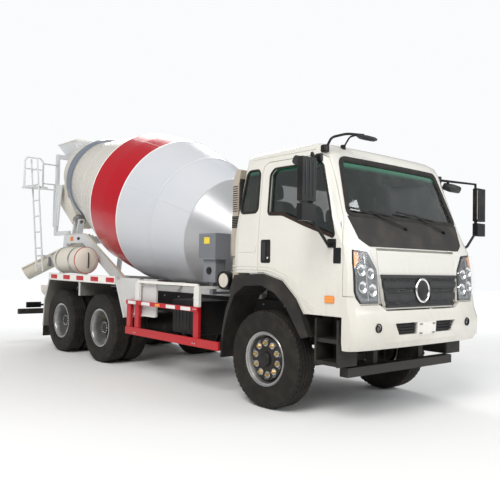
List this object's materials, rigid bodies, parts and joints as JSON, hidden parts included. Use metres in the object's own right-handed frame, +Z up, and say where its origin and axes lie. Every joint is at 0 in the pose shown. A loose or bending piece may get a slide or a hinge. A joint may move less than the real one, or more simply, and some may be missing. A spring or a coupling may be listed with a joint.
{
  "type": "concrete mixer truck",
  "caption": "Six-wheeled concrete mixer truck with a tilting flat-fronted cab, a tilted turning drum, a filling hopper and a swinging discharge chute.",
  "frame": {"origin": "middle of the whole truck's length and width, on the ground", "axes": "+X forwards to the cab's front, +Y to the truck's left, +Z up"},
  "size_m": [8.5028, 3.27, 3.86],
  "materials": {
    "cab_paint": "gloss, creamy white",
    "drum_paint": "gloss, light grey-white",
    "frame_paint": "satin grey",
    "chassis_paint": "satin black",
    "guard_paint": "gloss red",
    "rim_paint": "satin silver",
    "casting": "as cast, painted dark",
    "bare_steel": "brushed",
    "dark_plastic": "matte dark brown-grey",
    "cab_trim": "matte grey",
    "seat_fabric": "woven",
    "tyre_rubber": "matte",
    "tinted_glass": "clear, slightly green"
  },
  "bodies": {
    "chassis": {"chassis_frame": "chassis_paint", "mixer_subframe": "frame_paint", "rear_pedestal": "frame_paint", "drum_gearbox": "casting", "engine": "casting", "front_axle": "chassis_paint", "middle_axle": "chassis_paint", "rear_axle": "chassis_paint", "bogie_suspension": "chassis_paint", "fuel_tank": "rim_paint", "battery_box": "chassis_paint", "exhaust_silencer": "bare_steel", "side_guard_left": "guard_paint", "side_guard_right": "guard_paint", "front_mudguard_left": "dark_plastic", "front_mudguard_right": "dark_plastic", "cab_step_left": "chassis_paint", "cab_step_right": "chassis_paint", "rear_mudguard_left": "frame_paint", "rear_mudguard_right": "frame_paint", "hopper": "frame_paint", "discharge_funnel": "frame_paint", "extension_chute": "frame_paint", "ladder": "frame_paint", "water_tank": "drum_paint", "oil_cooler": "frame_paint", "air_intake": "dark_plastic"},
    "cab": {"cab_shell": "cab_paint", "windscreen": "tinted_glass", "front_bumper": "cab_paint", "dashboard": "cab_trim", "cab_seats": "seat_fabric"},
    "front_lid": {"front_lid": "cab_paint"},
    "door_right": {"door_right": "cab_paint", "door_glass_right": "tinted_glass", "mirror_right": "dark_plastic"},
    "door_left": {"door_left": "cab_paint", "door_glass_left": "tinted_glass", "mirror_left": "dark_plastic"},
    "steering_wheel": {"steering_wheel": "cab_trim"},
    "knuckle_right": {"knuckle_right": "casting"},
    "knuckle_left": {"knuckle_left": "casting"},
    "front_wheel_right": {"front_rim_right": "rim_paint", "front_tyre_right": "tyre_rubber"},
    "front_wheel_left": {"front_rim_left": "rim_paint", "front_tyre_left": "tyre_rubber"},
    "middle_wheel_right": {"middle_twin_wheel_right": "tyre_rubber"},
    "middle_wheel_left": {"middle_twin_wheel_left": "tyre_rubber"},
    "rear_wheel_right": {"rear_twin_wheel_right": "tyre_rubber"},
    "rear_wheel_left": {"rear_twin_wheel_left": "tyre_rubber"},
    "drum": {"drum": "drum_paint"},
    "roller_right": {"roller_right": "bare_steel"},
    "roller_left": {"roller_left": "bare_steel"},
    "chute_swivel": {"chute_swivel": "frame_paint"},
    "discharge_chute": {"discharge_chute": "frame_paint"}
  },
  "joints": [
    {"name": "cab_tilt", "type": "hinge", "parent": "chassis", "child": "cab", "pos_m": [4.037, 0, 0.8], "axis": [0, 1, 0], "range_deg": [0, 50]},
    {"name": "front_lid_hinge", "type": "hinge", "parent": "cab", "child": "front_lid", "pos_m": [4.145, 0, 1.7], "axis": [0, -1, 0], "range_deg": [0, 65]},
    {"name": "door_right_hinge", "type": "hinge", "parent": "cab", "child": "door_right", "pos_m": [4.064, -1.125, 1.8], "axis": [0, 0, 1], "range_deg": [0, 70]},
    {"name": "door_left_hinge", "type": "hinge", "parent": "cab", "child": "door_left", "pos_m": [4.064, 1.125, 1.8], "axis": [0, 0, -1], "range_deg": [0, 70]},
    {"name": "steering_wheel_turn", "type": "hinge", "parent": "cab", "child": "steering_wheel", "pos_m": [3.487, 0.62, 2.03], "axis": [-0.4695, 0, 0.8829], "range_deg": [-480, 480]},
    {"name": "steering_right", "type": "hinge", "parent": "chassis", "child": "knuckle_right", "pos_m": [3.017, -0.875, 0.52], "axis": [0, 0, 1], "range_deg": [-32, 32]},
    {"name": "steering_left", "type": "hinge", "parent": "chassis", "child": "knuckle_left", "pos_m": [3.017, 0.875, 0.52], "axis": [0, 0, 1], "range_deg": [-32, 32]},
    {"name": "front_wheel_right_roll", "type": "hinge", "parent": "knuckle_right", "child": "front_wheel_right", "pos_m": [3.017, -1, 0.52], "axis": [0, 1, 0], "continuous": true},
    {"name": "middle_wheel_right_roll", "type": "hinge", "parent": "chassis", "child": "middle_wheel_right", "pos_m": [-0.589, -1.012, 0.52], "axis": [0, 1, 0], "continuous": true},
    {"name": "rear_wheel_right_roll", "type": "hinge", "parent": "chassis", "child": "rear_wheel_right", "pos_m": [-1.941, -1.012, 0.52], "axis": [0, 1, 0], "continuous": true},
    {"name": "front_wheel_left_roll", "type": "hinge", "parent": "knuckle_left", "child": "front_wheel_left", "pos_m": [3.017, 1, 0.52], "axis": [0, 1, 0], "continuous": true},
    {"name": "middle_wheel_left_roll", "type": "hinge", "parent": "chassis", "child": "middle_wheel_left", "pos_m": [-0.589, 1.012, 0.52], "axis": [0, 1, 0], "continuous": true},
    {"name": "rear_wheel_left_roll", "type": "hinge", "parent": "chassis", "child": "rear_wheel_left", "pos_m": [-1.941, 1.012, 0.52], "axis": [0, 1, 0], "continuous": true},
    {"name": "drum_spin", "type": "hinge", "parent": "chassis", "child": "drum", "pos_m": [2.117, 0, 1.657], "axis": [-0.9574, 0, 0.2887], "continuous": true},
    {"name": "roller_right_spin", "type": "hinge", "parent": "chassis", "child": "roller_right", "pos_m": [-2.7172, -0.458, 2.2861], "axis": [-0.9574, 0, 0.2887], "continuous": true},
    {"name": "roller_left_spin", "type": "hinge", "parent": "chassis", "child": "roller_left", "pos_m": [-2.7172, 0.458, 2.2861], "axis": [-0.9574, 0, 0.2887], "continuous": true},
    {"name": "chute_swivel_turn", "type": "hinge", "parent": "chassis", "child": "chute_swivel", "pos_m": [-3.343, 0, 1.5], "axis": [0, 0, 1], "range_deg": [-128, 22]},
    {"name": "chute_tilt", "type": "hinge", "parent": "chute_swivel", "child": "discharge_chute", "pos_m": [-3.343, 0, 1.95], "axis": [-0.7986, 0.6018, 0], "range_deg": [-15, 18]}
  ],
  "couplings": [
    {"joint": "steering_left", "follows": "steering_right", "ratio": 1},
    {"joint": "steering_wheel_turn", "follows": "steering_right", "ratio": 15},
    {"joint": "roller_right_spin", "follows": "drum_spin", "ratio": -7.2727},
    {"joint": "roller_left_spin", "follows": "drum_spin", "ratio": -7.2727}
  ]
}
